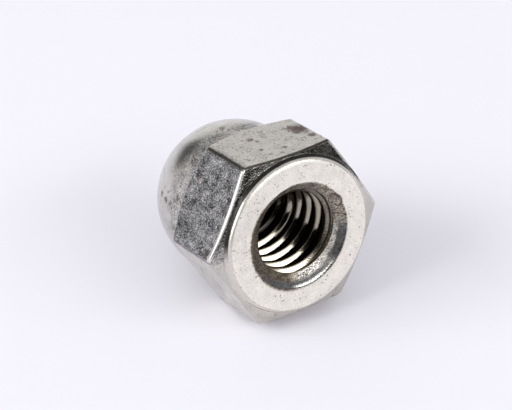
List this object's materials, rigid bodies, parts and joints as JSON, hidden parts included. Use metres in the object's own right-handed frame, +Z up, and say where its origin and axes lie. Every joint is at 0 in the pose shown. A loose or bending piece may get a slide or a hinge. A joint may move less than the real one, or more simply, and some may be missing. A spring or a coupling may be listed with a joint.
{
  "type": "cap nut",
  "caption": "Domed cap nut: a hexagon with a raised round bearing face, a blind tapped hole and a smooth dome that covers the end of the screw.",
  "frame": {"origin": "on the floor, under the middle of the nut's bounding box, as it lies at rest", "axes": "+Z up; the nut lies on the back edge of one flat and on its dome, so its thread axis leans 9.0 degrees back in the YZ plane: the tapped end faces -Y and a little up, and the dome points to +Y; two corners of the hexagon lie on X"},
  "size_m": [0.0116, 0.0122, 0.0106],
  "materials": {
    "worn_steel": "worn satin stainless steel: a fine grainy skin, polished edges, and small brown specks and stains"
  },
  "bodies": {
    "root": {"cap_nut": "worn_steel"}
  },
  "joints": []
}
